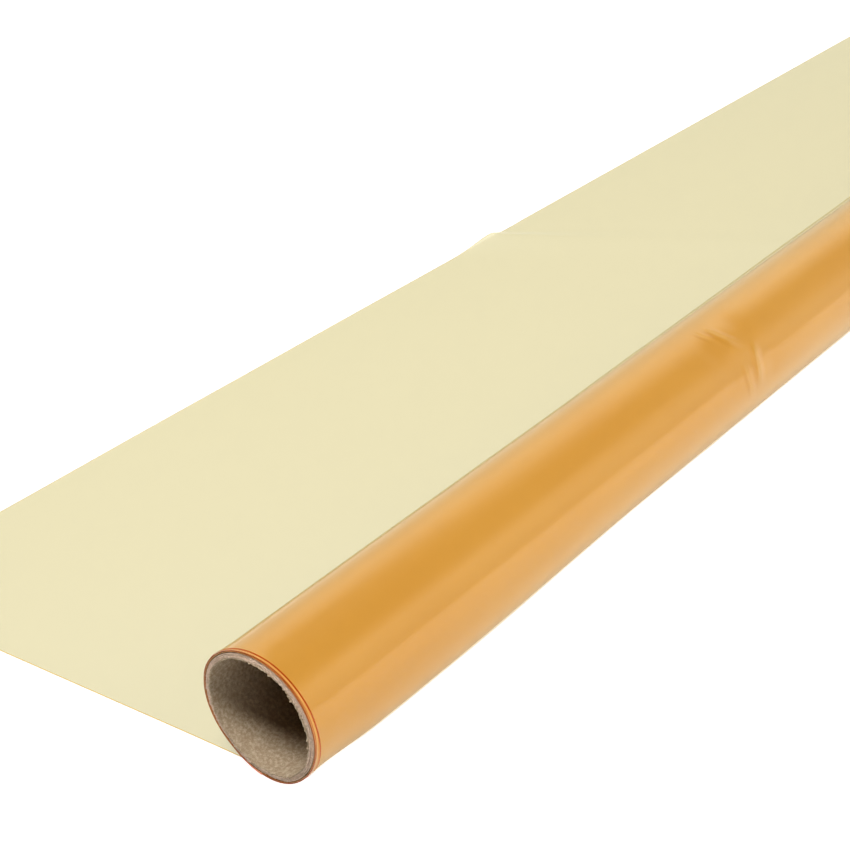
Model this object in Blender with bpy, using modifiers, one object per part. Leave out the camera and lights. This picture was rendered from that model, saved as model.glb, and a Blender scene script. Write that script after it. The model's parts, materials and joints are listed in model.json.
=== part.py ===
"""A roll of tinted sign film on a spiral-wound paper core, with a length of the web paid out flat on the floor.

The roll lies along Y and the paid-out web lies towards -X. The origin is the middle of the floor under it all.
"""

import math

import bmesh
import bpy
from mathutils import Matrix

# Driving dimensions, in metres.
BORE_DIAMETER = 0.0508  # a two-inch core
PLY_COUNT = 4
PLY_THICKNESS = 0.000375
PLY_GAP = 0.0001  # glue line between plies
PLY_PITCH = 0.300  # how far a ply's strip advances in one turn
PLY_SEAM = 0.0008  # butt gap between a strip's own turns
TAPE_WIDTH = 0.050  # along the core
TAPE_WRAP = 0.040  # round the core
TAPE_THICKNESS = 0.0001
TAPE_INSET = 0.090  # from each end of the core to the nearest tape
TAPE_GAP = 0.0001  # under and over the tape
ROLL_LENGTH = 1.220  # a 48 inch web
CORE_PROUD = 0.0012  # how far the core stands out of the web at each end
FILM_THICKNESS = 0.0001
WOUND_DEPTH = 0.0012  # of the tightly wound turns
TURN_CLEARANCE = 0.0003  # between those and the loose outer turn
LAP_GAP = 0.0003  # under the web where the outer turn comes round on to it
SHEET_LENGTH = 0.271  # of web paid out
WEB_DRIFT = 0.003  # how far the paid-out web sits off the roll's near end
LOOSENESS = 0.06  # how much wider the outer turn bulges half way along
JOIN_GAP = 0.0003  # between the paid-out web and the outer turn that it becomes

# Facets.
CORE_FACETS = 40
WOUND_FACETS = 64
LAP_FACETS = 48
LAP_STATIONS = 12
LAP_OPENING = math.radians(8)  # left between the outer turn's inner end and the floor line
STRIP_OVERRUN = 1  # pitches of strip wound past each end and trimmed off

# What follows from them.
CORE_RADIUS = BORE_DIAMETER / 2 + PLY_COUNT * PLY_THICKNESS + (PLY_COUNT - 1) * PLY_GAP
TAPE_RADIUS = CORE_RADIUS + TAPE_GAP
WOUND_INNER = TAPE_RADIUS + TAPE_THICKNESS + TAPE_GAP
WOUND_OUTER = WOUND_INNER + WOUND_DEPTH
LAP_STEP = FILM_THICKNESS + LAP_GAP  # how much the outer turn closes in over one turn
ROLL_RADIUS = WOUND_OUTER + TURN_CLEARANCE + FILM_THICKNESS + LAP_STEP
WIDEST_RADIUS = ROLL_RADIUS * (1 + LOOSENESS)
FLOOR_LINE_X = (SHEET_LENGTH - WIDEST_RADIUS) / 2
CORE_LENGTH = ROLL_LENGTH + 2 * CORE_PROUD
NEAR_END_Y = -(ROLL_LENGTH + max(WEB_DRIFT, CORE_PROUD) - CORE_PROUD) / 2
AXIS_START = (FLOOR_LINE_X, NEAR_END_Y, ROLL_RADIUS)

# Finishes: colour, roughness, metallic, alpha.
FINISHES = {
    "kraft_liner": ((0.42, 0.30, 0.19), 0.9, 0.0, 1.0),
    "kraft_board": ((0.50, 0.38, 0.26), 0.9, 0.0, 1.0),
    "paper_tape": ((0.74, 0.66, 0.46), 0.7, 0.0, 1.0),
    "wound_film": ((0.70, 0.36, 0.09), 0.18, 0.0, 1.0),
    "outer_film": ((0.80, 0.52, 0.20), 0.15, 0.0, 0.6),
    "laid_film": ((0.86, 0.78, 0.48), 0.2, 0.0, 0.7),
}


def clear_scene():
    for obj in list(bpy.data.objects):
        bpy.data.objects.remove(obj, do_unlink=True)


def make_collection(name):
    collection = bpy.data.collections.new(name)
    bpy.context.scene.collection.children.link(collection)
    return collection


def make_material(node, finish):
    colour, roughness, metallic, alpha = FINISHES[finish]
    material = bpy.data.materials.new(f"{node}_{finish}")
    material.use_nodes = True
    shader = material.node_tree.nodes["Principled BSDF"]
    shader.inputs["Base Color"].default_value = (*colour, 1)
    shader.inputs["Roughness"].default_value = roughness
    shader.inputs["Metallic"].default_value = metallic
    shader.inputs["Alpha"].default_value = alpha
    return material


def place(name, mesh, finish, parent, location=(0, 0, 0)):
    """Adds a mesh to the roll's collection under a joint's empty."""
    mesh.shade_smooth()
    mesh.materials.append(make_material(name, finish))
    obj = bpy.data.objects.new(name, mesh)
    PIECES.objects.link(obj)
    obj.parent = parent
    obj.location = location
    return obj


def joint_empty(name, location):
    empty = bpy.data.objects.new(name, None)
    empty.location = location
    PIECES.objects.link(empty)
    return empty


def profile_mesh(name, points, closed):
    """A profile in the XY plane: X is the radius and Y runs along the roll."""
    edges = [(i, i + 1) for i in range(len(points) - 1)]
    if closed:
        edges.append((len(points) - 1, 0))
    mesh = bpy.data.meshes.new(name)
    mesh.from_pydata([(radius, along, 0) for radius, along in points], edges, [])
    return mesh


def turn(obj, facets, angle=2 * math.pi, pitch=0.0, turns=1, merge=False):
    """Turns a profile round the roll's axis, as a ring or as a helical strip."""
    screw = obj.modifiers.new("turn", "SCREW")
    screw.axis = "Y"
    screw.angle = angle
    screw.screw_offset = pitch
    screw.iterations = turns
    screw.steps = screw.render_steps = facets
    screw.use_smooth_shade = True
    screw.use_merge_vertices = merge
    screw.merge_threshold = 0.00001


def thicken(obj, thickness, side):
    """Gives an open surface its thickness: side 1 is along its normals, -1 against them."""
    solid = obj.modifiers.new("thickness", "SOLIDIFY")
    solid.thickness = thickness
    solid.offset = side
    solid.use_even_offset = True


def turned_tube(name, inner, outer, proud, facets, finish, parent):
    """A plain tube that stands this far out of the web at each end."""
    near, far = -proud, ROLL_LENGTH + proud
    corners = [(outer, far), (outer, near), (inner, near), (inner, far)]
    obj = place(name, profile_mesh(name, corners, True), finish, parent)
    turn(obj, facets, merge=True)
    return obj


def trimming_box():
    """The slab between the core's two ends, which its strips are cut to."""
    mesh = bpy.data.meshes.new("core_trim")
    box = bmesh.new()
    across = 4 * CORE_RADIUS
    size = Matrix.Diagonal((across, CORE_LENGTH, across, 1))
    bmesh.ops.create_cube(box, size=1, matrix=Matrix.Translation((0, ROLL_LENGTH / 2, 0)) @ size)
    box.to_mesh(mesh)
    box.free()
    cutter = bpy.data.objects.new("core_trim", mesh)
    cutter.location = AXIS_START
    cutter.hide_render = True
    cutter.display_type = "WIRE"
    CUTTERS.objects.link(cutter)
    return cutter


def wound_ply(name, radius, phase, cutter, parent):
    """One paper strip wound round the core with its edges butted, and cut square at both ends."""
    start = -PLY_PITCH * (STRIP_OVERRUN + phase)
    width = PLY_PITCH - PLY_SEAM
    turns = math.ceil((CORE_LENGTH - start) / PLY_PITCH) + STRIP_OVERRUN
    mesh = profile_mesh(name, [(radius, start), (radius, start + width)], False)
    obj = place(name, mesh, "kraft_board", parent)
    turn(obj, CORE_FACETS, pitch=PLY_PITCH, turns=turns)
    thicken(obj, PLY_THICKNESS, -1)
    cut = obj.modifiers.new("trim_ends", "BOOLEAN")
    cut.operation = "INTERSECT"
    cut.object = cutter
    return obj


def start_tape(name, along, parent):
    """A patch of tape that holds the start of the web on the core."""
    half = TAPE_WIDTH / 2
    mesh = profile_mesh(name, [(TAPE_RADIUS, along - half), (TAPE_RADIUS, along + half)], False)
    obj = place(name, mesh, "paper_tape", parent)
    turn(obj, CORE_FACETS // 2, angle=TAPE_WRAP / TAPE_RADIUS)
    thicken(obj, TAPE_THICKNESS, -1)
    return obj


def bulge(along):
    """How much wider the loose outer turn is at this share of the roll's length."""
    return LOOSENESS * math.sin(math.pi * along) ** 3


def outer_turn(parent):
    """The last turn: it leaves the floor line, goes once round and tucks in over the paid-out web."""
    grid = bmesh.new()
    bmesh.ops.create_grid(grid, x_segments=LAP_FACETS, y_segments=LAP_STATIONS, size=0.5)
    full = 2 * math.pi - LAP_OPENING
    for vertex in grid.verts:
        share = vertex.co.x + 0.5
        along = vertex.co.y + 0.5
        angle = share * full
        middle = ROLL_RADIUS * (1 + bulge(along))
        radius = middle - LAP_STEP * share
        vertex.co.x = radius * math.sin(angle)
        vertex.co.y = WEB_DRIFT * (1 - share) + along * ROLL_LENGTH
        vertex.co.z = middle - radius * math.cos(angle) - ROLL_RADIUS
    mesh = bpy.data.meshes.new("film_outer_turn")
    grid.to_mesh(mesh)
    grid.free()
    obj = place("film_outer_turn", mesh, "outer_film", parent)
    thicken(obj, FILM_THICKNESS, 1)
    return obj


def laid_sheet():
    """The web that has been paid out, flat on the floor."""
    mesh = bpy.data.meshes.new("film_laid_sheet")
    box = bmesh.new()
    size = (SHEET_LENGTH - JOIN_GAP, ROLL_LENGTH, FILM_THICKNESS)
    bmesh.ops.create_cube(box, size=1, matrix=Matrix.Diagonal((*size, 1)))
    box.to_mesh(mesh)
    box.free()
    middle = (
        FLOOR_LINE_X - JOIN_GAP - size[0] / 2,
        NEAR_END_Y + WEB_DRIFT + ROLL_LENGTH / 2,
        FILM_THICKNESS / 2,
    )
    return place("film_laid_sheet", mesh, "laid_film", None, middle)


def core(parent):
    """The liner is one closed tube, because its strip's edges overlap and are glued. The others are strips."""
    bore = BORE_DIAMETER / 2
    turned_tube("core_liner", bore, bore + PLY_THICKNESS, CORE_PROUD, CORE_FACETS, "kraft_liner", parent)
    cutter = trimming_box()
    body_plies = PLY_COUNT - 1
    for ply in range(1, PLY_COUNT):
        radius = bore + ply * (PLY_THICKNESS + PLY_GAP)
        wound_ply(f"core_ply_{ply}", radius, ply / body_plies % 1, cutter, parent)


def start_tapes(parent):
    places = {
        "near": TAPE_INSET + TAPE_WIDTH / 2,
        "middle": ROLL_LENGTH / 2,
        "far": ROLL_LENGTH - TAPE_INSET - TAPE_WIDTH / 2,
    }
    for name, along in places.items():
        start_tape(f"start_tape_{name}", along, parent)


clear_scene()
PIECES = make_collection("film_roll")
CUTTERS = make_collection("film_roll_cutters")
travel = joint_empty("roll_travel_axis", AXIS_START)
spin = joint_empty("roll_spin_axis", (0, 0, 0))
spin.parent = travel
laid_sheet()
outer_turn(travel)
turned_tube("film_wound_turns", WOUND_INNER, WOUND_OUTER, 0, WOUND_FACETS, "wound_film", spin)
core(spin)
start_tapes(spin)
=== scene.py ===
# %% [markdown]
# # A roll of tinted sign film, lying down with a length of its web paid out
#
# The film is one clear yellow sheet. A single layer is as pale as weak tea, but the roll holds many layers,
# one over another, and their colours add up to a deep amber. This lesson builds the web, the loose outer
# turn, the slack and wound turns below it and the paper core, around a frame of plain solids that already
# has the right sizes and joints.

import json
import math

import bmesh
import bpy
import numpy as np
from mathutils import Matrix, Vector


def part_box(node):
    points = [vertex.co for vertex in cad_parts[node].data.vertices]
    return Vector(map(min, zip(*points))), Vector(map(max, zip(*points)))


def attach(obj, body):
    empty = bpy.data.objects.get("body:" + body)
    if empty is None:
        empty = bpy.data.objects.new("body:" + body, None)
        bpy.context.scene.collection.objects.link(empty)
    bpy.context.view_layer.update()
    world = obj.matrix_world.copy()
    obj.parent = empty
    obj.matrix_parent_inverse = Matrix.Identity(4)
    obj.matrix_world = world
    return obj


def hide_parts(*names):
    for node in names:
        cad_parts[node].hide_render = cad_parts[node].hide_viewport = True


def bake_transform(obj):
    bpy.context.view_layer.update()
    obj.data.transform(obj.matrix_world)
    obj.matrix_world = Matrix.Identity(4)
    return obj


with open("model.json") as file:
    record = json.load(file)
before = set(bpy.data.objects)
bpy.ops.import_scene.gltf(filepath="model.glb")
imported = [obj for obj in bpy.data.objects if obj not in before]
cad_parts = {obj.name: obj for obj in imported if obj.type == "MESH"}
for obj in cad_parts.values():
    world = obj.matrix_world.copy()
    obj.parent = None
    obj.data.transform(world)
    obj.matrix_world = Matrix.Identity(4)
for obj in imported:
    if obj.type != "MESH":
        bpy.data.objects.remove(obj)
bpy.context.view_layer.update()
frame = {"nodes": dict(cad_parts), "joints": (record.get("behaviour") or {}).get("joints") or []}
print("nodes:", ", ".join(frame["nodes"]))

# %% [markdown]
# The sizes that the design fixes are measured from the frame, so the looks follow it. The roll's axis comes
# from the joint it turns on. A turned solid's inner and outer radius are its points' least and greatest
# distance from that axis.

# %% Measure the frame
MM = 0.001
spin_joint = next(j for j in frame["joints"] if j["name"] == "roll_spin")
AXIS_X = spin_joint["pos_m"][0]
AXIS_Z = spin_joint["pos_m"][2]


def radii(node):
    """The least and greatest distance of a node's points from the roll's axis."""
    points = np.array([v.co[:] for v in frame["nodes"][node].data.vertices])
    reach = np.hypot(points[:, 0] - AXIS_X, points[:, 2] - AXIS_Z)
    return float(reach.min()), float(reach.max())


WOUND_INNER, WOUND_OUTER = radii("film_wound_turns")
WEB_NEAR, WEB_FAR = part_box("film_wound_turns")[0][1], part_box("film_wound_turns")[1][1]
CORE_NEAR, CORE_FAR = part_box("core_liner")[0][1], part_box("core_liner")[1][1]
SHEET_LOW, SHEET_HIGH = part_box("film_laid_sheet")
FILM_THICKNESS = SHEET_HIGH[2] - SHEET_LOW[2]
WEB_DRIFT = SHEET_LOW[1] - WEB_NEAR
ROLL_RADIUS = AXIS_Z
ROLL_LENGTH = WEB_FAR - WEB_NEAR
SHEET_LENGTH = AXIS_X - SHEET_LOW[0]
print(f"roll radius {ROLL_RADIUS / MM:.1f} mm, web {ROLL_LENGTH:.3f} m wide, {SHEET_LENGTH:.3f} m paid out")

# %% [markdown]
# The camera stands to the right of the roll's near end and above it, about half a roll's length away, with
# a short telephoto lens. Its place is given in roll radii from the point where the near end meets the
# floor. It is built from three directions, forward, right and down, so that the small lean of the horizon
# is easy to set.

# %% Camera
CAMERA_PLACE = Vector((13.564, -12.077, 13.700)) * ROLL_RADIUS
CAMERA_TILT = 0.4568
CAMERA_TURN = 0.7072
CAMERA_LEAN = 0.1055
CAMERA_LENS = 72.1


def make_camera():
    forward = Vector(
        (
            -math.sin(CAMERA_TURN) * math.cos(CAMERA_TILT),
            math.cos(CAMERA_TURN) * math.cos(CAMERA_TILT),
            -math.sin(CAMERA_TILT),
        )
    )
    level_right = forward.cross(Vector((0, 0, 1))).normalized()
    level_down = forward.cross(level_right)
    right = math.cos(CAMERA_LEAN) * level_right + math.sin(CAMERA_LEAN) * level_down
    down = math.cos(CAMERA_LEAN) * level_down - math.sin(CAMERA_LEAN) * level_right
    turned = Matrix((right, -down, -forward)).transposed().to_4x4()
    data = bpy.data.cameras.new("camera")
    data.lens = CAMERA_LENS
    data.sensor_width = 36
    data.clip_start = 0.05
    data.clip_end = 100
    camera = bpy.data.objects.new("camera", data)
    place = Vector((AXIS_X, WEB_NEAR, 0)) + CAMERA_PLACE
    camera.matrix_world = Matrix.Translation(place) @ turned
    bpy.context.scene.collection.objects.link(camera)
    bpy.context.scene.camera = camera
    return camera


camera = make_camera()
print("camera at", [round(c, 3) for c in camera.location])

# %% [markdown]
# A glossy roll is a picture of its studio. The bands of light and dark along it are the floor, the bright
# wall round the horizon and the dimmer ceiling, each bent round the cylinder. So the studio is built first.
# The floor is a wide light table. The sky has three sides, left, middle and right, each with its own
# brightness at each height, and that is what the film mirrors. The soft boxes give most of the light but
# aren't mirrored, so the bands can be set without changing how bright the film is.

# %% Node helpers
def add_node(tree, kind, **values):
    """Adds a node. Keywords name its sockets, or its own settings, with spaces written as underscores."""
    node = tree.nodes.new(kind)
    for key, value in values.items():
        socket = next((s for s in node.inputs if s.name == key.replace("_", " ")), None)
        if socket is not None:
            socket.default_value = value
        else:
            setattr(node, key, value)
    return node


def maths(tree, operation, first, second=None):
    """A Math node fed by sockets or by plain numbers."""
    node = tree.nodes.new("ShaderNodeMath")
    node.operation = operation
    for socket, value in zip(node.inputs, (first, second)):
        if isinstance(value, bpy.types.NodeSocket):
            tree.links.new(value, socket)
        elif value is not None:
            socket.default_value = value
    return node.outputs[0]


def ramp(tree, source, stops, smooth=True):
    """A Color Ramp from (place, colour) stops."""
    node = tree.nodes.new("ShaderNodeValToRGB")
    if smooth:
        node.color_ramp.interpolation = "EASE"
    elements = node.color_ramp.elements
    while len(elements) < len(stops):
        elements.new(0.5)
    for element, (place, colour) in zip(elements, stops):
        element.position = place
        element.color = (*colour, 1)
    tree.links.new(source, node.inputs[0])
    return node.outputs[0]


def mix_colours(tree, factor, first, second, blend="MIX"):
    node = tree.nodes.new("ShaderNodeMix")
    node.data_type = "RGBA"
    node.blend_type = blend
    for socket, value in zip((node.inputs[0], node.inputs[6], node.inputs[7]), (factor, first, second)):
        if isinstance(value, bpy.types.NodeSocket):
            tree.links.new(value, socket)
        else:
            socket.default_value = value
    return node.outputs[2]


# %% Studio
FLOOR_SIZE = 60.0
FLOOR_DROP = 0.2 * MM  # keeps the floor clear of the film's underside
FLOOR_COLOUR = (0.55, 0.55, 0.55, 1)
FLOOR_GLOW = 0.20  # the floor is a light table, lit from below as well as from above
FLOOR_LIFT = 0.71  # added where it is looked at directly, so that it is white all round the roll
MIRRORED_LIFT = 0.28  # the share of that lift that mirrored rays get
SKY_LEFT = [(0, 0.90), (10, 0.85), (17, 0.80), (24, 0.90), (32, 1.00), (41, 0.75), (50, 0.15), (90, 0.35)]
SKY_MIDDLE = [(0, 0.75), (12, 0.60), (20, 0.36), (32, 0.16), (50, 0.05), (64, 0.10), (90, 0.35)]
SKY_RIGHT = [(0, 0.62), (12, 0.75), (26, 0.85), (36, 0.45), (44, 0.06), (60, 0.10), (90, 0.35)]
SKY_SEAMS = ((-0.22, 0.12), (0.42, 0.66))  # where left turns to middle and middle to right, as x directions
SKY_DEPTH = 0.8  # how much brighter the sky gets from the near end's side to the far end's
SKY_LEVEL = 0.65
SKY_COLOUR = (0.86, 0.97, 1.00)  # a cool white, against the warm film
SOFT_BOXES = {
    # name: place, size, watts
    "overhead": ((0.2, -0.1, 2.4), (2.6, 2.6), 24),
    "front": ((0.40, -1.5, 2.8), (1.4, 0.8), 72),
    "right": ((2.4, 0.2, 1.2), (1.2, 1.8), 34),
}


def sky_ramp(tree, height, stops):
    """The sky's light up one side, from (degrees above the horizon, brightness) stops."""
    places = []
    for degrees, level in stops:
        colour = tuple(level * part for part in SKY_COLOUR)
        places.append(((1 + math.sin(math.radians(degrees))) / 2, colour))
    return ramp(tree, height, places, smooth=False)


def make_sky():
    """The sky lights and is mirrored. Where it is looked at directly it is a plain white backdrop."""
    world = bpy.data.worlds.new("studio")
    world.use_nodes = True
    tree = world.node_tree
    tree.nodes.clear()
    direction = add_node(tree, "ShaderNodeTexCoord")
    split = add_node(tree, "ShaderNodeSeparateXYZ")
    tree.links.new(direction.outputs["Generated"], split.inputs[0])
    height = maths(tree, "MULTIPLY_ADD", split.outputs["Z"], 0.5)
    height.node.inputs[2].default_value = 0.5
    light = sky_ramp(tree, height, SKY_LEFT)
    for stops, (start, end) in zip((SKY_MIDDLE, SKY_RIGHT), SKY_SEAMS):
        side = maths(tree, "MULTIPLY_ADD", split.outputs["X"], 1 / (end - start))
        side.node.inputs[2].default_value = -start / (end - start)
        side.node.use_clamp = True
        light = mix_colours(tree, side, light, sky_ramp(tree, height, stops))
    strength = maths(tree, "MULTIPLY_ADD", split.outputs["Y"], SKY_DEPTH)
    strength.node.inputs[2].default_value = SKY_LEVEL
    strength.node.use_clamp = True
    background = add_node(tree, "ShaderNodeBackground")
    tree.links.new(light, background.inputs["Color"])
    tree.links.new(strength, background.inputs["Strength"])
    backdrop = add_node(tree, "ShaderNodeBackground", Color=(1, 1, 1, 1), Strength=1.0)
    path = add_node(tree, "ShaderNodeLightPath")
    shown = tree.nodes.new("ShaderNodeMixShader")
    tree.links.new(path.outputs["Is Camera Ray"], shown.inputs[0])
    tree.links.new(background.outputs[0], shown.inputs[1])
    tree.links.new(backdrop.outputs[0], shown.inputs[2])
    output = add_node(tree, "ShaderNodeOutputWorld")
    tree.links.new(shown.outputs[0], output.inputs["Surface"])
    bpy.context.scene.world = world


def make_soft_box(name, place, size, watts):
    data = bpy.data.lights.new(name, "AREA")
    data.shape = "RECTANGLE"
    data.size, data.size_y = size
    data.energy = watts
    light = bpy.data.objects.new(name, data)
    light.location = place
    aim = Vector((AXIS_X, 0, 0)) - light.location
    light.rotation_euler = aim.to_track_quat("-Z", "Y").to_euler()
    light.visible_camera = False
    light.visible_glossy = False
    bpy.context.scene.collection.objects.link(light)


def make_floor():
    mesh = bpy.data.meshes.new("floor")
    grid = bmesh.new()
    bmesh.ops.create_grid(grid, x_segments=1, y_segments=1, size=FLOOR_SIZE / 2)
    grid.to_mesh(mesh)
    grid.free()
    floor = bpy.data.objects.new("floor", mesh)
    floor.location.z = -FLOOR_DROP
    bpy.context.scene.collection.objects.link(floor)
    material = bpy.data.materials.new("pale_floor")
    material.use_nodes = True
    shader = material.node_tree.nodes["Principled BSDF"]
    shader.inputs["Base Color"].default_value = FLOOR_COLOUR
    shader.inputs["Roughness"].default_value = 1.0
    shader.inputs["Specular IOR Level"].default_value = 0.0
    shader.inputs["Emission Color"].default_value = (1, 1, 1, 1)
    path = add_node(material.node_tree, "ShaderNodeLightPath")
    seen = maths(material.node_tree, "MULTIPLY_ADD", path.outputs["Is Glossy Ray"], MIRRORED_LIFT)
    material.node_tree.links.new(path.outputs["Is Camera Ray"], seen.node.inputs[2])
    glow = maths(material.node_tree, "MULTIPLY_ADD", seen, FLOOR_LIFT)
    glow.node.inputs[2].default_value = FLOOR_GLOW
    material.node_tree.links.new(glow, shader.inputs["Emission Strength"])
    mesh.materials.append(material)


make_sky()
for box_name, settings in SOFT_BOXES.items():
    make_soft_box(box_name, *settings)
make_floor()
bpy.context.scene.view_settings.view_transform = "Standard"
print(len(SOFT_BOXES), "soft boxes")

# %% [markdown]
# Meshes here are grids: rows run round the roll and columns run along it. A grid is worked out as an array
# of points by a formula and then joined up with four-sided faces. That is the quickest way to a surface
# that has to follow a spiral, bulge along its length and still take a small dent.

# %% Mesh helpers
def grid_object(name, points, close_rows=False, close_columns=False):
    """An object from a (rows, columns, 3) array of points."""
    rows, columns = points.shape[:2]
    index = np.arange(rows * columns).reshape(rows, columns)
    if close_rows:
        index = np.vstack([index, index[:1]])
    if close_columns:
        index = np.hstack([index, index[:, :1]])
    corners = (index[:-1, :-1], index[1:, :-1], index[1:, 1:], index[:-1, 1:])
    faces = np.stack(corners, axis=-1).reshape(-1, 4)
    mesh = bpy.data.meshes.new(name)
    mesh.from_pydata(points.reshape(-1, 3).tolist(), [], faces.tolist())
    mesh.shade_smooth()
    obj = bpy.data.objects.new(name, mesh)
    bpy.context.scene.collection.objects.link(obj)
    return obj


def set_mask(obj, name, values):
    """Stores one number a point, for a material to read."""
    layer = obj.data.attributes.new(name, "FLOAT", "POINT")
    layer.data.foreach_set("value", np.asarray(values, np.float32).ravel())


def film_thickness(obj, side):
    """Gives an open sheet the film's thickness. Its cut edges take the second material."""
    solid = obj.modifiers.new("thickness", "SOLIDIFY")
    solid.thickness = FILM_THICKNESS
    solid.offset = side
    solid.use_even_offset = False
    solid.material_offset_rim = 1


def waves(u, v, seed, longest, shortest, count=9):
    """A gentle uneven swell, mostly between -1 and 1: a sum of sine waves in random directions."""
    draw = np.random.default_rng(seed)
    total = np.zeros(np.broadcast(u, v).shape)
    for _ in range(count):
        length = longest * (shortest / longest) ** draw.random()
        turn = draw.uniform(0, math.pi)
        wave = 2 * math.pi / length
        total += np.sin(wave * (u * math.cos(turn) + v * math.sin(turn)) + draw.uniform(0, 2 * math.pi))
    return total / (1.6 * math.sqrt(count))


def stations(start, end, count, border):
    """Evenly spaced places with one extra close to each end, where a colour or a curl starts."""
    inner = np.linspace(start + border, end - border, count)
    return np.concatenate([[start], inner, [end]])


def bump(distance, width):
    """A smooth hump that is 1 at 0 and fades out by about twice its width."""
    return np.exp(-((distance / width) ** 2))


def smooth_step(value, low, high):
    share = np.clip((value - low) / (high - low), 0, 1)
    return share * share * (3 - 2 * share)


# %% [markdown]
# ## Paid-out web
#
# The web lies flat because it is held only by its own weight, but film remembers being rolled and handled.
# It has a long low swell, and one crease that crosses it from the free edge. Where the crease meets that
# edge the film stands up by three millimetres. A cloth simulation would iron such a crease out, so it is
# shaped here as a ridge with a gentle near side and a steep far side.

# %% Paid-out web shape
WEB_ROWS, WEB_COLUMNS = 96, 400
EDGE_BORDER = 0.7 * MM
CREASE_EDGE = 17.45 * ROLL_RADIUS  # along the free edge from the near end
CREASE_SLANT = 0.385  # how far it runs along the roll for each metre towards it
CREASE_HEIGHT = 3.0 * MM
CREASE_NEAR_SIDE = 22 * MM
CREASE_FAR_SIDE = 9 * MM
CREASE_FADE = 0.9 * ROLL_RADIUS  # how soon it drops from full height, going in from the free edge
CREASE_LASTING = 0.18  # the share of its height that it keeps after that
CREASE_END = (0.75 * SHEET_LENGTH, 0.95 * SHEET_LENGTH)
DIP_SHARE = 0.35  # the film dips behind the crease by this share of its height
DIP_BEHIND = 2.2 * CREASE_FAR_SIDE
SWELL_HEIGHT = 0.5 * MM
FLAT_BEFORE_ROLL = (2.0 * ROLL_RADIUS, 0.3 * ROLL_RADIUS)  # it settles flat this far from the axis


def crease_height(across, along):
    """Height of the crease at this distance from the free edge and from the near end."""
    from_line = along - (CREASE_EDGE + CREASE_SLANT * across)
    width = np.where(from_line < 0, CREASE_NEAR_SIDE, CREASE_FAR_SIDE)
    fade = CREASE_LASTING + (1 - CREASE_LASTING) * np.exp(-across / CREASE_FADE)
    end = 1 - smooth_step(across, *CREASE_END)
    dip = DIP_SHARE * bump(from_line - DIP_BEHIND, CREASE_FAR_SIDE)
    return CREASE_HEIGHT * fade * end * (bump(from_line, width) - dip)


def paid_out_web():
    x = stations(SHEET_LOW[0], AXIS_X, WEB_ROWS, EDGE_BORDER)[:, None]
    y = stations(SHEET_LOW[1], SHEET_HIGH[1], WEB_COLUMNS, EDGE_BORDER)[None, :]
    across, along = x - SHEET_LOW[0], y - SHEET_LOW[1]
    settles, settled = (SHEET_LENGTH - distance for distance in FLAT_BEFORE_ROLL)
    flat_by_roll = 1 - smooth_step(across, settles, settled)
    swell = 0.5 + 0.5 * waves(x, y, seed=5, longest=0.55, shortest=0.16)
    height = flat_by_roll * (SWELL_HEIGHT * np.clip(swell, 0, 1) + crease_height(across, along))
    height = np.maximum(height, 0)
    shape = np.broadcast(x, y).shape
    points = np.stack([np.broadcast_to(x, shape), np.broadcast_to(y, shape), height], axis=-1)
    web = grid_object("paid_out_web", points)
    edges = np.zeros(shape)
    edges[0, :] = edges[:, 0] = edges[:, -1] = 1
    set_mask(web, "cut_edge", edges)
    film_thickness(web, 1)
    return web


web = paid_out_web()
print(len(web.data.vertices), "points in the paid-out web")

# %% [markdown]
# ## Loose outer turn
#
# The last turn isn't pulled tight. It leaves the floor line, goes up the side away from the web, over the
# top and back down on the web's side. Half way along it stands away from the turns inside, so the roll
# looks fatter there. Where someone gripped it, it buckled into short flat-sided creases that run round the
# roll, with shallow hollows between them. At the near end the turns have been squeezed together, spread by
# the core's flared rim, and cut a little askew. All of this is added to a plain spiral, so each effect has
# its own formula and its own size.

# %% Outer turn shape
TURN_ROWS = 150
TURN_END = 2 * math.pi - math.radians(8)
LOOSENESS = (SHEET_LOW[2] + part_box("film_outer_turn")[1][2]) / (2 * ROLL_RADIUS) - 1
TURN_STEP = 0.4 * MM  # how much the turn closes in by the time it comes round
FLOOR_ARC = 0.45  # radians either side of the floor line where the film is pressed to its plain shape
SQUEEZE = 0.50  # how much thinner the pack of turns is at the near end
ASKEW = 1.7 * MM  # the near end was cut a little askew, deepest at this many degrees from the top
ASKEW_FROM_TOP = -125
FLARE = 0.65 * MM  # how far the core's rim has spread, and how deep into the roll that reaches
FLARE_REACH = 8 * MM
FILM_PROUD = 2.5 * MM  # how far the roll's edge has slipped out past the paid-out web's
SLIP_FROM = 0.15  # the share of the turn over which the slip grows from nothing at the floor line
RIPPLE = 0.10 * MM
EDGE_RIPPLE = 0.22 * MM
EDGE_RIPPLE_REACH = 0.8 * ROLL_RADIUS
GRIP_RIPPLE = 0.12 * MM
GRIP_ALONG = 11.0 * ROLL_RADIUS
GRIP_WIDTH = 1.7 * ROLL_RADIUS
GRIP_REACH = 0.75 * GRIP_WIDTH  # the mesh is fine this far to either side
print(f"the outer turn bulges by {LOOSENESS:.1%} half way along")

# Each buckle runs round the roll from one place to another: degrees from the top and radii along, then how
# far its middle bows towards the near end in radii, its height and its width.
BUCKLES = [
    ((12, 11.08), (46, 11.34), 0.10, 1.00 * MM, 3.4 * MM),
    ((6, 10.88), (26, 10.92), 0.05, 0.45 * MM, 2.2 * MM),
    ((50, 11.62), (90, 11.46), 0.08, 1.15 * MM, 4.2 * MM),
    ((62, 11.12), (98, 11.22), 0.06, 0.55 * MM, 2.6 * MM),
]
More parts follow.
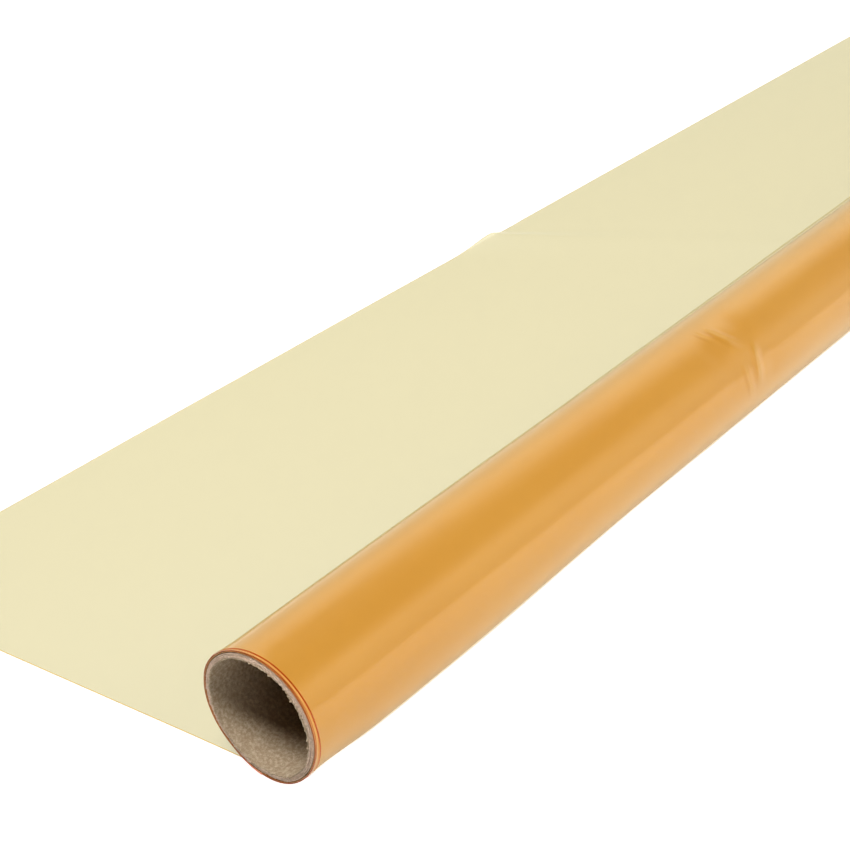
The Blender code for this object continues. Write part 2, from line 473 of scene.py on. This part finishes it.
# Each hollow: degrees from the top and radii along, its size and its depth.
HOLLOWS = [
    ((54, 10.78), 9 * MM, 0.50 * MM),
    ((34, 10.60), 6 * MM, 0.35 * MM),
    ((22, 11.62), 8 * MM, 0.50 * MM),
    ((78, 11.95), 7 * MM, 0.40 * MM),
]
NEAR_SIDE, FAR_SIDE = 0.6, 1.3  # a buckle has flat sides, and the far one is the wider
SAG_FROM_TOP = 128  # degrees round to where the turn hangs away from the roll below, near its end
SAG_ARC = 30
SAG = 1.8 * MM
SAG_GROWS = (0.2 * ROLL_RADIUS, 1.3 * ROLL_RADIUS)  # it grows and shrinks between these distances along
SAG_SHRINKS = (3 * ROLL_RADIUS, 8 * ROLL_RADIUS)


def loose_radius(share_along):
    """The outer turn's radius, which is greatest half way along."""
    return ROLL_RADIUS * (1 + LOOSENESS * np.sin(math.pi * share_along) ** 3)


def off_floor(angle):
    """0 at the floor line and 1 well away from it. The angle is from the floor line."""
    return 1 - bump(np.minimum(angle, 2 * math.pi - angle), FLOOR_ARC)


def buckle(round_roll, along, start, end, bow, height, width):
    """A ridge along a line on the unrolled turn. Both places are lengths on the unrolled turn."""
    ends = [np.array((math.radians(a) * ROLL_RADIUS, y * ROLL_RADIUS)) for a, y in (start, end)]
    line = ends[1] - ends[0]
    length = float(np.hypot(*line))
    unit = line / length
    du, dv = round_roll - ends[0][0], along - ends[0][1]
    run = (du * unit[0] + dv * unit[1]) / length
    off = dv * unit[0] - du * unit[1] + 4 * bow * ROLL_RADIUS * run * (1 - run)
    taper = smooth_step(run, -0.15, 0.25) * (1 - smooth_step(run, 0.6, 1.15))
    side = np.where(off > 0, FAR_SIDE, NEAR_SIDE) * width
    return height * taper * np.clip(1 - np.abs(off) / side, 0, 1)


def slipped(from_top, share_along):
    """How far the film has slipped out past the web at the near end. It dies out along the roll."""
    return (FILM_PROUD - cut_back(from_top)) * (1 - share_along) ** 2


def cut_back(from_top):
    """How much deeper than the rest the near end is cut at this angle from the top."""
    towards = np.clip(np.cos(from_top - math.radians(ASKEW_FROM_TOP)), 0, 1)
    return ASKEW * towards**1.5


def flare(along):
    """How far the handled near end of the core, and the film round it, has spread."""
    return FLARE * np.exp(-along / FLARE_REACH)


def squeeze(reach, along):
    """Where a turn lies once the pack has been squeezed and its rim has spread, most at the near end."""
    tight = SQUEEZE * np.exp(-along / ROLL_RADIUS)
    return reach - tight * np.clip(reach - WOUND_INNER, 0, None) + flare(along)


def dents(round_roll, along):
    """The buckles and hollows where the roll was gripped. Both places are lengths on the unrolled turn."""
    relief = 0.0
    for line in BUCKLES:
        relief = relief + buckle(round_roll, along, *line)
    for (degrees, radii_along), size, depth in HOLLOWS:
        du = round_roll - math.radians(degrees) * ROLL_RADIUS
        dv = along - radii_along * ROLL_RADIUS
        relief = relief - depth * bump(np.hypot(du * 0.8, dv), size)
    return relief


def sag(from_top, along):
    """How far the slack film hangs out from the roll below, near its end."""
    swell = smooth_step(along, *SAG_GROWS) * (1 - smooth_step(along, *SAG_SHRINKS))
    return SAG * swell * bump(np.degrees(from_top) - SAG_FROM_TOP, SAG_ARC)


def outer_turn_relief(angle, along):
    """How far the outer turn stands out from its plain spiral. The angle is from the floor line."""
    from_top = math.pi - angle
    round_roll = from_top * ROLL_RADIUS
    relief = RIPPLE * waves(round_roll, along, seed=11, longest=0.20, shortest=0.07)
    near_edge = EDGE_RIPPLE * np.exp(-along / EDGE_RIPPLE_REACH)
    relief = relief + near_edge * waves(round_roll, along, seed=3, longest=0.030, shortest=0.012)
    relief = relief + dents(round_roll, along)
    grip = GRIP_RIPPLE * bump(along - GRIP_ALONG, GRIP_WIDTH)
    relief = relief + grip * waves(round_roll, along, seed=8, longest=0.05, shortest=0.02)
    relief = relief + sag(from_top, along)
    return relief * off_floor(angle)


def turn_stations():
    """Shares of the roll's length: close together at the near end and at the buckles, wider elsewhere."""
    runs = [
        np.array([0, EDGE_BORDER]),
        np.linspace(2 * MM, 30 * MM, 24),
        np.linspace(34 * MM, GRIP_ALONG - GRIP_REACH, 50),
        np.linspace(GRIP_ALONG - GRIP_REACH, GRIP_ALONG + GRIP_REACH, 124)[1:],
        np.linspace(GRIP_ALONG + GRIP_REACH, ROLL_LENGTH - EDGE_BORDER, 100)[1:],
        np.array([ROLL_LENGTH]),
    ]
    return np.concatenate(runs) / ROLL_LENGTH


def outer_turn():
    angle = np.linspace(0, TURN_END, TURN_ROWS)[:, None]
    share_along = turn_stations()[None, :]
    along = share_along * ROLL_LENGTH
    share_round = angle / TURN_END
    middle = loose_radius(share_along)
    reach = middle - TURN_STEP * share_round + outer_turn_relief(angle, along)
    reach = reach + off_floor(angle) * (squeeze(reach, along) - reach)
    x = AXIS_X + reach * np.sin(angle)
    slip = slipped(math.pi - angle, share_along) * smooth_step(share_round, 0, SLIP_FROM)
    y = WEB_NEAR + along + WEB_DRIFT * (1 - share_round) - slip
    z = middle - reach * np.cos(angle)
    shape = np.broadcast(x, y).shape
    points = np.stack([x, np.broadcast_to(y, shape), np.maximum(z, 0)], axis=-1)
    turn = grid_object("outer_turn", points)
    edges = np.zeros(shape)
    edges[:, 0] = edges[:, -1] = 1
    set_mask(turn, "cut_edge", edges)
    film_thickness(turn, 1)
    return turn


turn = outer_turn()
print(len(turn.data.vertices), "points in the outer turn")

# %% [markdown]
# ## Slack turns
#
# Below the outer turn the next two are slack as well, and take the same dents. They fill most of the space
# between it and the tight part of the roll. So many layers lie under them that they are made opaque, and
# only the outer turn is seen through. They are one more spiral: from turn to turn it leaves the outer
# turn's fat shape and closes in on the tight roll.

# %% Slack turns shape
SLACK_TURNS = 2
SLACK_ROWS = 120
SLACK_START = 0.30  # the share of the way in at which the first slack turn lies
SLACK_GAP = 0.12 * MM
SLACK_UNEVEN = 0.35 * MM  # how far a slack turn's edge stands in or out
SLACK_INSET = 0.4 * MM
CUT_DEPTH = 0.35 * MM  # how far the red of a cut edge reaches into the film


def cut_stations(count):
    """Shares of the roll's length, with a few close together at each cut end."""
    ends = np.array([0, 0.3, 0.7, 1.6, 5, 12, 30]) * MM / ROLL_LENGTH
    return np.concatenate([ends[:-1], np.linspace(ends[-1], 1 - ends[-1], count), 1 - ends[-2::-1]])


def slack_stations():
    """As for the outer turn, but only the grip's dents need many."""
    ends = cut_stations(2)
    before = np.linspace(40 * MM, GRIP_ALONG - GRIP_REACH, 14)
    gripped = np.linspace(GRIP_ALONG - GRIP_REACH, GRIP_ALONG + GRIP_REACH, 90)[1:]
    after = np.linspace(GRIP_ALONG + GRIP_REACH, ROLL_LENGTH - 40 * MM, 22)[1:]
    middle = np.concatenate([before, gripped, after]) / ROLL_LENGTH
    half = len(ends) // 2
    return np.concatenate([ends[:half], middle, ends[half:]])


def slack_turns():
    count = SLACK_TURNS * SLACK_ROWS
    share = np.linspace(0, 1, count)[:, None]
    angle = TURN_END + share * SLACK_TURNS * 2 * math.pi
    share_along = slack_stations()[None, :]
    outside = loose_radius(share_along) - TURN_STEP - SLACK_GAP
    tight = WOUND_OUTER + SLACK_GAP
    inwards = SLACK_START + (1 - SLACK_START) * share
    reach = outside + (tight - outside) * inwards
    lift = (TURN_STEP + SLACK_GAP) * (1 - inwards) + (AXIS_Z - tight) * inwards
    middle = lift + reach
    along = share_along * ROLL_LENGTH
    from_top = (2 * math.pi - angle) % (2 * math.pi) - math.pi
    pressed = dents(from_top * ROLL_RADIUS, along) + sag(from_top, along)
    reach = squeeze(reach + (1 - inwards) / (1 - SLACK_START) * pressed, along)
    x = AXIS_X + reach * np.sin(angle)
    uneven = SLACK_UNEVEN * np.sin(1.7 * angle) * np.cos(math.pi * share_along)
    y = WEB_NEAR - slipped(math.pi - angle, share_along) + along + uneven + SLACK_INSET
    z = middle - reach * np.cos(angle)
    shape = np.broadcast(x, y).shape
    points = np.stack([x, np.broadcast_to(y, shape), z], axis=-1)
    turns = grid_object("slack_turns", points)
    from_end = np.minimum(share_along, 1 - share_along) * ROLL_LENGTH
    set_mask(turns, "near_cut", np.broadcast_to(np.exp(-from_end / CUT_DEPTH), shape))
    set_mask(turns, "turn_share", np.broadcast_to(0.9 + 0.1 * share, shape))
    film_thickness(turns, 1)
    return turns


slack = slack_turns()
print(SLACK_TURNS, "slack turns")

# %% [markdown]
# ## Wound turns
#
# Inside the slack turns the film is wound tight. The turns are one long spiral, which shows only at the two
# ends, as fine rings. No winder stacks a web perfectly, so each ring stands a little in or out of its
# neighbours.

# %% Wound turns shape
WOUND_TURNS = 8
WOUND_COLUMNS = 9
TURN_STEPS = 160
WANDER = 0.30 * MM  # how far a turn's edge stands in or out
WOBBLE = 0.02 * MM


def wound_turns():
    count = WOUND_TURNS * TURN_STEPS
    share = np.linspace(0, 1, count)[:, None]
    angle = share * WOUND_TURNS * 2 * math.pi - TURN_END + math.pi
    reach = WOUND_INNER + (WOUND_OUTER - FILM_THICKNESS - WOUND_INNER) * share
    reach = reach + WOBBLE * np.sin(5 * angle + 3 * share)
    length = cut_stations(WOUND_COLUMNS)[None, :]
    wander = WANDER * (0.6 * np.sin(1.31 * angle / (2 * math.pi)) + 0.4 * np.sin(0.83 * angle + 2))
    reach = squeeze(reach, length * ROLL_LENGTH)
    y = WEB_NEAR + WANDER + length * (ROLL_LENGTH - 2 * WANDER) + wander * np.cos(math.pi * length)
    y = y - slipped(angle, length)
    x = AXIS_X + reach * np.sin(angle)
    z = AXIS_Z + reach * np.cos(angle)
    shape = np.broadcast(x, y).shape
    points = np.stack([np.broadcast_to(x, shape), y, np.broadcast_to(z, shape)], axis=-1)
    turns = grid_object("wound_turns", points)
    set_mask(turns, "turn_share", np.broadcast_to(share, shape))
    from_end = np.minimum(length, 1 - length) * ROLL_LENGTH
    set_mask(turns, "near_cut", np.broadcast_to(np.exp(-from_end / CUT_DEPTH), shape))
    film_thickness(turns, -1)
    return turns


wound = wound_turns()
print(WOUND_TURNS, "turns wound")

# %% [markdown]
# ## Paper core
#
# A paper core is made of strips wound in a spiral and glued one over another. The saw that cuts it to
# length leaves a fuzzy edge: the plies part a little, and the innermost stands out furthest in small torn
# teeth. Each ply is a tube of its own, cut at its own height, and the near end's rim has spread with
# handling. On the liner, the overlap of its own strip shows as a low step that winds down the bore.

# %% Core shape
CORE_STEPS = 480
CORE_SIDES = 40  # the plain solids are polygons, and a ply's outside is drawn at their flats
CORE_MIDDLE = 26 * MM  # a radius part way through the wall, which turns angles into lengths round the rim
TEAR_FADE = 500  # the torn shape dies out within a few parts in this many of the core's length
LINER_STATIONS, PLY_STATIONS = 56, 8
PLY_NAMES = ["core_liner", "core_ply_1", "core_ply_2", "core_ply_3"]
NEAR_PROUD = [1.80 * MM, 1.50 * MM, 1.30 * MM, 1.10 * MM]  # past the design's square cut
FAR_PROUD = [0.75 * MM, 0.35 * MM, -0.10 * MM, -0.55 * MM]
PLY_TEAR = [1.10 * MM, 0.55 * MM, 0.45 * MM, 0.40 * MM]
LINER_PITCH = 0.125  # how far the liner's seam advances in one turn
SEAM_STEP = 0.16 * MM
LINER_GRAIN = 0.03 * MM
BORE_SHADE_DEPTHS = (8 * MM, 50 * MM)  # painted shade: the bore's colour darkens from the first of these depths to the second


def torn_edge(angle, seed, depth):
    """Teeth along a torn edge: a few long bites with short ones between."""
    round_rim = angle * CORE_MIDDLE
    bites = waves(round_rim, 0 * angle, seed, longest=0.030, shortest=0.006, count=7)
    teeth = waves(round_rim, 0 * angle, seed + 1, longest=0.0040, shortest=0.0013, count=11)
    return depth * (0.5 * bites + 0.9 * np.abs(teeth) - 0.4)


def core_ply(order, node):
    """One ply of the core as a closed tube: down the inside, round the far rim and back up the outside."""
    inner, outer = radii(node)
    outer_face = outer * math.cos(math.pi / CORE_SIDES)
    count = LINER_STATIONS if order == 0 else PLY_STATIONS
    near_end = np.array([0, 0.0004, 0.0012, 0.003])
    length = np.concatenate([near_end, np.linspace(0.008, 0.992, count), 1 - near_end[::-1]])
    angle = np.arange(CORE_STEPS)[:, None] * 2 * math.pi / CORE_STEPS
    tear_near = NEAR_PROUD[order] + torn_edge(angle, 20 + 3 * order, PLY_TEAR[order])
    tear_near = tear_near - cut_back(math.pi / 2 - angle)
    tear_far = FAR_PROUD[order] + torn_edge(angle, 60 + 3 * order, PLY_TEAR[order])
    run = CORE_FAR - CORE_NEAR

    def along(share):
        plain = CORE_NEAR + share * run
        near, far = np.exp(-share * TEAR_FADE), np.exp(-(1 - share) * TEAR_FADE)
        return plain - tear_near * near + tear_far * far

    inside, outside = length, length[::-1]
    y = np.hstack([along(inside[None, :]), along(outside[None, :])])
    bore = np.full((CORE_STEPS, len(inside)), inner)
    if order == 0:
        phase = (angle / (2 * math.pi) - (inside[None, :] * run) / LINER_PITCH) % 1
        bore = bore + SEAM_STEP * smooth_step(phase, 0.0, 0.012) * (1 - phase)
        bore = bore + LINER_GRAIN * waves(angle * inner, inside[None, :] * run, 9, 0.02, 0.006)
    skin = np.full((CORE_STEPS, len(outside)), outer_face)
    bore = bore + order / len(PLY_NAMES) * flare(inside * run)[None, :]
    skin = skin + (order + 1) / len(PLY_NAMES) * flare(outside * run)[None, :]
    reach = np.hstack([bore, skin])
    points = np.stack([AXIS_X + reach * np.cos(angle), y, AXIS_Z + reach * np.sin(angle)], axis=-1)
    ply = grid_object(node.replace("core_", "paper_"), points, close_rows=True, close_columns=True)
    # A mask for painted shade: 0 near the bore's mouths, 1 deep inside, where the paper is painted darker.
    from_end = np.minimum(inside, 1 - inside) * run
    depth = np.concatenate([smooth_step(from_end, *BORE_SHADE_DEPTHS), 0 * outside])
    set_mask(ply, "depth", np.broadcast_to(depth, points.shape[:2]))
    return ply


plies = [core_ply(order, node) for order, node in enumerate(PLY_NAMES)]
print(len(plies), "paper plies")


def face_outwards(obj):
    shape = bmesh.new()
    shape.from_mesh(obj.data)
    bmesh.ops.recalc_face_normals(shape, faces=shape.faces)
    shape.to_mesh(obj.data)
    shape.free()


for ply in plies:
    face_outwards(ply)

# %% [markdown]
# ## Marks on film
#
# Handled film is never a perfect mirror. It carries faint rubs along the web and a slow unevenness in its
# tint.
# All the film materials need them, so they are one node group with its own inputs.

# %% Film marks node group
def new_group(name, inputs, outputs):
    group = bpy.data.node_groups.new(name, "ShaderNodeTree")
    for socket, kind, value in inputs:
        made = group.interface.new_socket(name=socket, in_out="INPUT", socket_type=kind)
        made.default_value = value
    for socket, kind in outputs:
        group.interface.new_socket(name=socket, in_out="OUTPUT", socket_type=kind)
    return group, group.nodes.new("NodeGroupInput"), group.nodes.new("NodeGroupOutput")


MARKS_CONTRAST = 1.8


def film_marks_group():
    group, given, out = new_group(
        "film_marks",
        [
            ("Tint", "NodeSocketColor", (0.9, 0.8, 0.5, 1)),
            ("Deep Tint", "NodeSocketColor", (0.8, 0.6, 0.3, 1)),
            ("Roughness", "NodeSocketFloat", 0.1),
            ("Rubs", "NodeSocketFloat", 0.05),
        ],
        [("Color", "NodeSocketColor"), ("Roughness", "NodeSocketFloat"), ("Height", "NodeSocketFloat")],
    )
    place = add_node(group, "ShaderNodeTexCoord")
    slow = add_node(group, "ShaderNodeTexNoise", Scale=9.0, Detail=3.0, Roughness=0.55)
    group.links.new(place.outputs["Object"], slow.inputs["Vector"])
    uneven = maths(group, "MULTIPLY_ADD", slow.outputs[0], MARKS_CONTRAST)
    uneven.node.inputs[2].default_value = -0.4
    uneven.node.use_clamp = True
    colour = mix_colours(group, uneven, given.outputs["Tint"], given.outputs["Deep Tint"])
    stretch = add_node(group, "ShaderNodeMapping", Scale=(14.0, 190.0, 14.0))
    group.links.new(place.outputs["Object"], stretch.inputs["Vector"])
    rubs = add_node(group, "ShaderNodeTexNoise", Scale=1.6, Detail=4.0, Roughness=0.6)
    group.links.new(stretch.outputs[0], rubs.inputs["Vector"])
    rubbed = maths(group, "MULTIPLY", rubs.outputs[0], given.outputs["Rubs"])
    group.links.new(colour, out.inputs["Color"])
    group.links.new(maths(group, "ADD", given.outputs["Roughness"], rubbed), out.inputs["Roughness"])
    group.links.new(slow.outputs[0], out.inputs["Height"])
    return group


film_marks = film_marks_group()
print("node group:", film_marks.name)

# %% [markdown]
# ## See-through film
#
# One layer of film does two things to light. It tints what passes straight through it, and it mirrors a
# little from its surface, more at a slant. The first is a Transparent shader with the tint, which also lets
# the soft boxes shine through on to the floor. The second is a bright, smooth mirror that is mixed in by
# the angle of the surface. Each face mirrors on its front only. The film has two faces, so each takes the
# square root of the whole layer's tint. The roll mirrors more than one layer does, because every layer
# below adds to it. That light has passed through the film and comes back amber, so the deep film is part
# metallic. Its colour is also painted paler where it is seen at a slant: a painted sheen for the mirror of
# the layers below.

# %% Film materials
def new_material(name):
    material = bpy.data.materials.new(name)
    material.use_nodes = True
    tree = material.node_tree
    return material, tree, tree.nodes["Principled BSDF"], tree.nodes["Material Output"]


def marks_node(tree, tint, deep, roughness, rubs):
    node = tree.nodes.new("ShaderNodeGroup")
    node.node_tree = film_marks
    node.inputs["Tint"].default_value = (*tint, 1)
    node.inputs["Deep Tint"].default_value = (*deep, 1)
    node.inputs["Roughness"].default_value = roughness
    node.inputs["Rubs"].default_value = rubs
    return node


def mirror_share(tree, straight, grazing, steepness):
    """How much film mirrors: one share straight on, and another at a grazing angle."""
    slant = add_node(tree, "ShaderNodeLayerWeight", Blend=0.5)
    power = maths(tree, "POWER", slant.outputs["Facing"], steepness)
    share = maths(tree, "MULTIPLY_ADD", power, grazing - straight)
    share.node.inputs[2].default_value = straight
    side = add_node(tree, "ShaderNodeNewGeometry")
    front = maths(tree, "SUBTRACT", 1.0, side.outputs["Backfacing"])
    return maths(tree, "MULTIPLY", share, front)


def clear_film(name, tint, slanted_tint, edge_tint, straight, grazing, steepness):
    """One see-through layer. Its cut border has a tint of its own."""
    material, tree, mirror, output = new_material(name)
    mirror.inputs["Metallic"].default_value = 1.0
    mirror.inputs["Base Color"].default_value = (1, 1, 1, 1)
    marks = marks_node(tree, (1, 1, 1), (1, 1, 1), 0.05, 0.10)
    tree.links.new(marks.outputs["Roughness"], mirror.inputs["Roughness"])
    slant = add_node(tree, "ShaderNodeLayerWeight", Blend=0.5)
    deeper = mix_colours(tree, slant.outputs["Facing"], (*tint, 1), (*slanted_tint, 1))
    border = add_node(tree, "ShaderNodeAttribute", attribute_name="cut_edge")
    edged = mix_colours(tree, border.outputs["Fac"], deeper, (*edge_tint, 1))
    through = tree.nodes.new("ShaderNodeBsdfTransparent")
    tree.links.new(edged, through.inputs["Color"])
    mix = tree.nodes.new("ShaderNodeMixShader")
    tree.links.new(mirror_share(tree, straight, grazing, steepness), mix.inputs[0])
    tree.links.new(through.outputs[0], mix.inputs[1])
    tree.links.new(mirror.outputs[0], mix.inputs[2])
    tree.links.new(mix.outputs[0], output.inputs["Surface"])
    return material


def cut_film_edge(name, colour, deep):
    """The cut edge of film, which glows with the light that has run along inside the sheet."""
    material, tree, shader, _ = new_material(name)
    marks = marks_node(tree, colour, deep, 0.2, 0.2)
    tree.links.new(marks.outputs["Color"], shader.inputs["Base Color"])
    tree.links.new(marks.outputs["Roughness"], shader.inputs["Roughness"])
    return material


def stacked_film_edge(name):
    """The edges of the wound turns: orange against the core, and deeper red towards the outside."""
    material, tree, shader, _ = new_material(name)
    share = add_node(tree, "ShaderNodeAttribute", attribute_name="turn_share")
    bands = [
        (0.00, (0.70, 0.36, 0.12)),
        (0.30, (0.74, 0.44, 0.16)),
        (0.50, (0.78, 0.42, 0.13)),
        (0.70, (0.62, 0.20, 0.04)),
        (0.85, (0.60, 0.10, 0.014)),
        (1.00, (0.66, 0.09, 0.012)),
    ]
    colour = ramp(tree, share.outputs["Fac"], bands, smooth=False)
    marks = marks_node(tree, (1, 1, 1), (0.8, 0.7, 0.6), 0.2, 0.2)
    marked = mix_colours(tree, 1.0, colour, marks.outputs["Color"], "MULTIPLY")
    tree.links.new(marked, shader.inputs["Base Color"])
    tree.links.new(marks.outputs["Roughness"], shader.inputs["Roughness"])
    return material


web_film = clear_film(
    "clear_film",
    tint=(0.800, 0.782, 0.698),
    slanted_tint=(0.782, 0.730, 0.540),
    edge_tint=(0.80, 0.64, 0.34),
    straight=0.05,
    grazing=0.60,
    steepness=5.0,
)
turn_film = clear_film(
    "loose_film",
    tint=(0.950, 0.930, 0.840),
    slanted_tint=(0.980, 0.950, 0.870),
    edge_tint=(0.80, 0.24, 0.05),
    straight=0.04,
    grazing=0.32,
    steepness=4.5,
)
edge_glow = cut_film_edge("film_edge", (0.62, 0.10, 0.015), (0.40, 0.04, 0.01))
stack_glow = stacked_film_edge("wound_edges")
pale_edge = cut_film_edge("web_edge", (0.85, 0.66, 0.30), (0.80, 0.55, 0.20))

AMBER, DEEP_AMBER = (0.745, 0.392, 0.091), (0.705, 0.348, 0.072)
# Painted sheen: at a slant the colour turns to this pale amber, standing for the layers' mirror.
PAINTED_SHEEN_AMBER = (0.94, 0.67, 0.33, 1)
CUT_RED = (0.38, 0.07, 0.012, 1)
PAINTED_SHEEN_SHARE = 0.75  # how far the painted sheen's pale colour takes over at the roll's outline
PAINTED_SHEEN_STEEPNESS = 3.0


def deep_film(name):
    """Many layers of film: deep amber with a wet gloss. A painted sheen makes it paler at a slant."""
    material, tree, shader, _ = new_material(name)
    marks = marks_node(tree, AMBER, DEEP_AMBER, 0.16, 0.12)
    # Painted sheen: mixed towards pale amber at a slant, standing for the mirror of the layers below.
    slant = add_node(tree, "ShaderNodeLayerWeight", Blend=0.5)
    painted_sheen = maths(tree, "POWER", slant.outputs["Facing"], PAINTED_SHEEN_STEEPNESS)
    painted_sheen = maths(tree, "MULTIPLY", painted_sheen, PAINTED_SHEEN_SHARE)
    colour = mix_colours(tree, painted_sheen, marks.outputs["Color"], PAINTED_SHEEN_AMBER)
    cut = add_node(tree, "ShaderNodeAttribute", attribute_name="near_cut")
    colour = mix_colours(tree, cut.outputs["Fac"], colour, CUT_RED)
    tree.links.new(colour, shader.inputs["Base Color"])
    tree.links.new(marks.outputs["Roughness"], shader.inputs["Roughness"])
    shader.inputs["Metallic"].default_value = 0.22
    shader.inputs["Specular IOR Level"].default_value = 0.3
    shader.inputs["Coat Weight"].default_value = 0.15
    shader.inputs["Coat Roughness"].default_value = 0.06
    relief = add_node(tree, "ShaderNodeBump", Strength=0.12, Distance=0.002)
    tree.links.new(marks.outputs["Height"], relief.inputs["Height"])
    tree.links.new(relief.outputs[0], shader.inputs["Normal"])
    return material


amber_film = deep_film("amber_film")
dressed = (
    (web, (web_film, pale_edge)),
    (turn, (turn_film, edge_glow)),
    (slack, (amber_film, stack_glow)),
    (wound, (amber_film, stack_glow)),
)
for piece, materials in dressed:
    for material in materials:
        piece.data.materials.append(material)
print("film materials:", web_film.name, amber_film.name, edge_glow.name)

# %% [markdown]
# ## Paper
#
# Core board is pressed from recycled pulp. Close up it is a felt of short fibres with pale and dark flecks
# in it. One node group makes that felt, and each paper takes its own two colours, its own scale and its own
# depth. The bore is painted darker further in from its mouth, a painted shade for the light that falls off
# inside it, by a mask that was stored on the plies.

# %% Paper node group and materials
def paper_fibres_group():
    group, given, out = new_group(
        "paper_fibres",
        [
            ("Paper", "NodeSocketColor", (0.5, 0.4, 0.3, 1)),
            ("Fleck", "NodeSocketColor", (0.3, 0.2, 0.1, 1)),
            ("Scale", "NodeSocketFloat", 1.0),
        ],
        [("Color", "NodeSocketColor"), ("Roughness", "NodeSocketFloat"), ("Height", "NodeSocketFloat")],
    )
    place = add_node(group, "ShaderNodeTexCoord")
    size = add_node(group, "ShaderNodeVectorMath", operation="SCALE")
    group.links.new(place.outputs["Object"], size.inputs[0])
    group.links.new(given.outputs["Scale"], size.inputs["Scale"])
    strands = []
    for turn_round, seed in ((0.5, 0.0), (-0.7, 3.7)):
        lay = add_node(group, "ShaderNodeMapping", Scale=(4200, 1500, 4200))
        lay.inputs["Rotation"].default_value = (turn_round, 0.4, turn_round)
        lay.inputs["Location"].default_value = (seed, seed, seed)
        group.links.new(size.outputs[0], lay.inputs["Vector"])
        strand = add_node(group, "ShaderNodeTexNoise", Scale=1.0, Detail=3.0, Roughness=0.6)
        group.links.new(lay.outputs[0], strand.inputs["Vector"])
        strands.append(strand.outputs[0])
    felt = maths(group, "MAXIMUM", *strands)
    cloud = add_node(group, "ShaderNodeTexNoise", Scale=700.0, Detail=4.0, Roughness=0.6)
    group.links.new(size.outputs[0], cloud.inputs["Vector"])
    blended = maths(group, "MULTIPLY", felt, cloud.outputs[0])
    shade = ramp(group, blended, [(0.18, (0, 0, 0)), (0.44, (1, 1, 1))])
    colour = mix_colours(group, shade, given.outputs["Fleck"], given.outputs["Paper"])
    group.links.new(colour, out.inputs["Color"])
    rough = maths(group, "MULTIPLY_ADD", felt, 0.2)
    rough.node.inputs[2].default_value = 0.75
    group.links.new(rough, out.inputs["Roughness"])
    group.links.new(felt, out.inputs["Height"])
    return group


paper_fibres = paper_fibres_group()
# The brown that the bore's paper is multiplied by deep inside: a painted shade.
BORE_SHADE_COLOUR = (0.48, 0.35, 0.20, 1)


def paper(name, colour, fleck, scale, relief_depth):
    material, tree, shader, _ = new_material(name)
    fibres = tree.nodes.new("ShaderNodeGroup")
    fibres.node_tree = paper_fibres
    fibres.inputs["Paper"].default_value = (*colour, 1)
    fibres.inputs["Fleck"].default_value = (*fleck, 1)
    fibres.inputs["Scale"].default_value = scale
    # Painted shade: deep in the bore the paper's colour is multiplied by a darker brown.
    bore_shade_mask = add_node(tree, "ShaderNodeAttribute", attribute_name="depth")
    bore_shade = mix_colours(tree, bore_shade_mask.outputs["Fac"], (1, 1, 1, 1), BORE_SHADE_COLOUR)
    felt = mix_colours(tree, 1.0, fibres.outputs["Color"], bore_shade, "MULTIPLY")
    tree.links.new(felt, shader.inputs["Base Color"])
    tree.links.new(fibres.outputs["Roughness"], shader.inputs["Roughness"])
    shader.inputs["Specular IOR Level"].default_value = 0.25
    relief = add_node(tree, "ShaderNodeBump", Strength=0.6, Distance=relief_depth)
    tree.links.new(fibres.outputs["Height"], relief.inputs["Height"])
    tree.links.new(relief.outputs[0], shader.inputs["Normal"])
    return material


liner_paper = paper("liner_paper", (0.65, 0.53, 0.37), (0.38, 0.27, 0.17), 1.0, 0.0002)
board_paper = paper("board_paper", (0.88, 0.68, 0.52), (0.58, 0.42, 0.30), 1.3, 0.0002)
tape_paper = paper("tape_paper", (0.72, 0.63, 0.44), (0.60, 0.50, 0.32), 2.0, 0.0001)
for order, ply in enumerate(plies):
    ply.data.materials.append(liner_paper if order == 0 else board_paper)
tape_names = [name for name in frame["nodes"] if name.startswith("start_tape")]
for name in tape_names:
    for material_slot in frame["nodes"][name].material_slots:
        material_slot.material = tape_paper
print("paper on", len(plies), "plies and", len(tape_names), "tapes")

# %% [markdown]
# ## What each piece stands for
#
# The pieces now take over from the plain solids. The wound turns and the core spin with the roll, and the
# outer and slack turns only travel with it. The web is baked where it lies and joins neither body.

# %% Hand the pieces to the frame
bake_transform(web)
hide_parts("film_laid_sheet")
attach(turn, "loose_turn")
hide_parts("film_outer_turn")
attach(slack, "loose_turn")
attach(wound, "wound_roll")
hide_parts("film_wound_turns")
for order, (ply, node) in enumerate(zip(plies, PLY_NAMES)):
    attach(ply, "wound_roll")
    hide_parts(node)

# %% Update the scene
bpy.context.view_layer.update()
